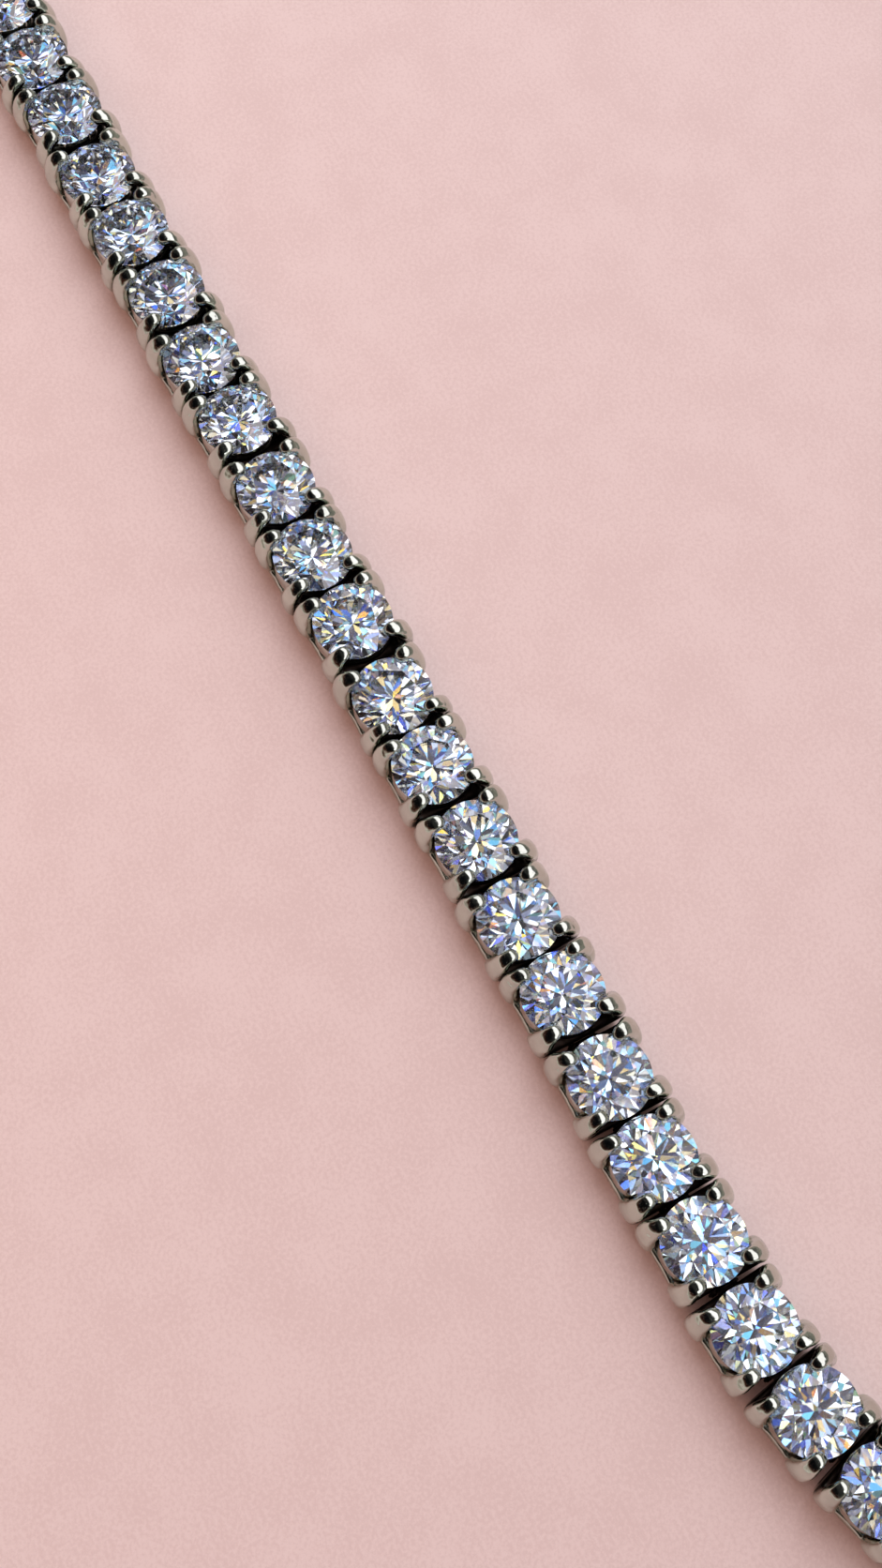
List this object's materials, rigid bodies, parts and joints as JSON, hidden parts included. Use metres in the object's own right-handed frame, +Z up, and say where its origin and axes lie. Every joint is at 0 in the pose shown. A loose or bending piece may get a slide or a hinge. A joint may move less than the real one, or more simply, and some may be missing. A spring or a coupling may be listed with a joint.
{
  "type": "tennis necklace",
  "caption": "Closed flexible row of round faceted stones in claw baskets hinged end to end, joined at the back by a box clasp. Lies flat, or circles a neck.",
  "frame": {"origin": "the middle of the footprint, on the surface that the necklace lies on", "axes": "+Z up out of the surface, towards the stones' tables; the straight front runs along X at -Y; the clasp is at +Y"},
  "size_m": [0.173, 0.1134, 0.0032],
  "materials": {
    "metal": "rhodium-plated silver, polished, with hairline wear",
    "stone": "clear colourless round brilliant, polished, with strong fire"
  },
  "bodies": {
    "root": {"setting_run_01": "metal", "stone_run_01": "stone", "setting_run_02": "metal", "stone_run_02": "stone", "setting_run_03": "metal", "stone_run_03": "stone", "setting_run_04": "metal", "stone_run_04": "stone", "setting_run_05": "metal", "stone_run_05": "stone", "setting_run_06": "metal", "stone_run_06": "stone", "setting_run_07": "metal", "stone_run_07": "stone", "setting_run_08": "metal", "stone_run_08": "stone", "setting_run_09": "metal", "stone_run_09": "stone", "setting_run_10": "metal", "stone_run_10": "stone", "setting_run_11": "metal", "stone_run_11": "stone", "setting_run_12": "metal", "stone_run_12": "stone", "setting_run_13": "metal", "stone_run_13": "stone", "setting_run_14": "metal", "stone_run_14": "stone", "setting_run_15": "metal", "stone_run_15": "stone", "setting_run_16": "metal", "stone_run_16": "stone", "setting_run_17": "metal", "stone_run_17": "stone", "clasp": "metal"}
  },
  "joints": []
}
